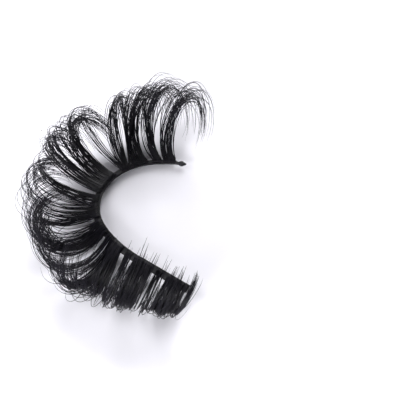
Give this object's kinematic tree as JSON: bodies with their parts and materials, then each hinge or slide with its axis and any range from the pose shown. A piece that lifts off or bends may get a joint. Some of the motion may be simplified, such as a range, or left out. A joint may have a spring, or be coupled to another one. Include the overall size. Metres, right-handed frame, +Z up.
{
  "type": "strip false eyelash",
  "caption": "Black strip false eyelash lying flat: a thin glue band bent into an open C, with fans of long hair that curl up and back over it.",
  "frame": {"origin": "middle of the outline on the table that the lash lies on", "axes": "+Z up from the table, +X out of the open side of the C, +Y from the near end of the band to its far end"},
  "size_m": [0.0226, 0.0362, 0.0098],
  "materials": {
    "band": "satin black thread ribbon coated with dried adhesive",
    "hair": "satin black synthetic hair"
  },
  "bodies": {
    "root": {"band": "band", "lash_fan_01": "hair", "lash_fan_02": "hair", "lash_fan_03": "hair", "lash_fan_04": "hair", "lash_fan_05": "hair", "lash_fan_06": "hair", "lash_fan_07": "hair", "lash_fan_08": "hair", "lash_fan_09": "hair", "lash_fan_10": "hair", "lash_fan_11": "hair", "lash_fan_12": "hair", "lash_fan_13": "hair"}
  },
  "joints": []
}
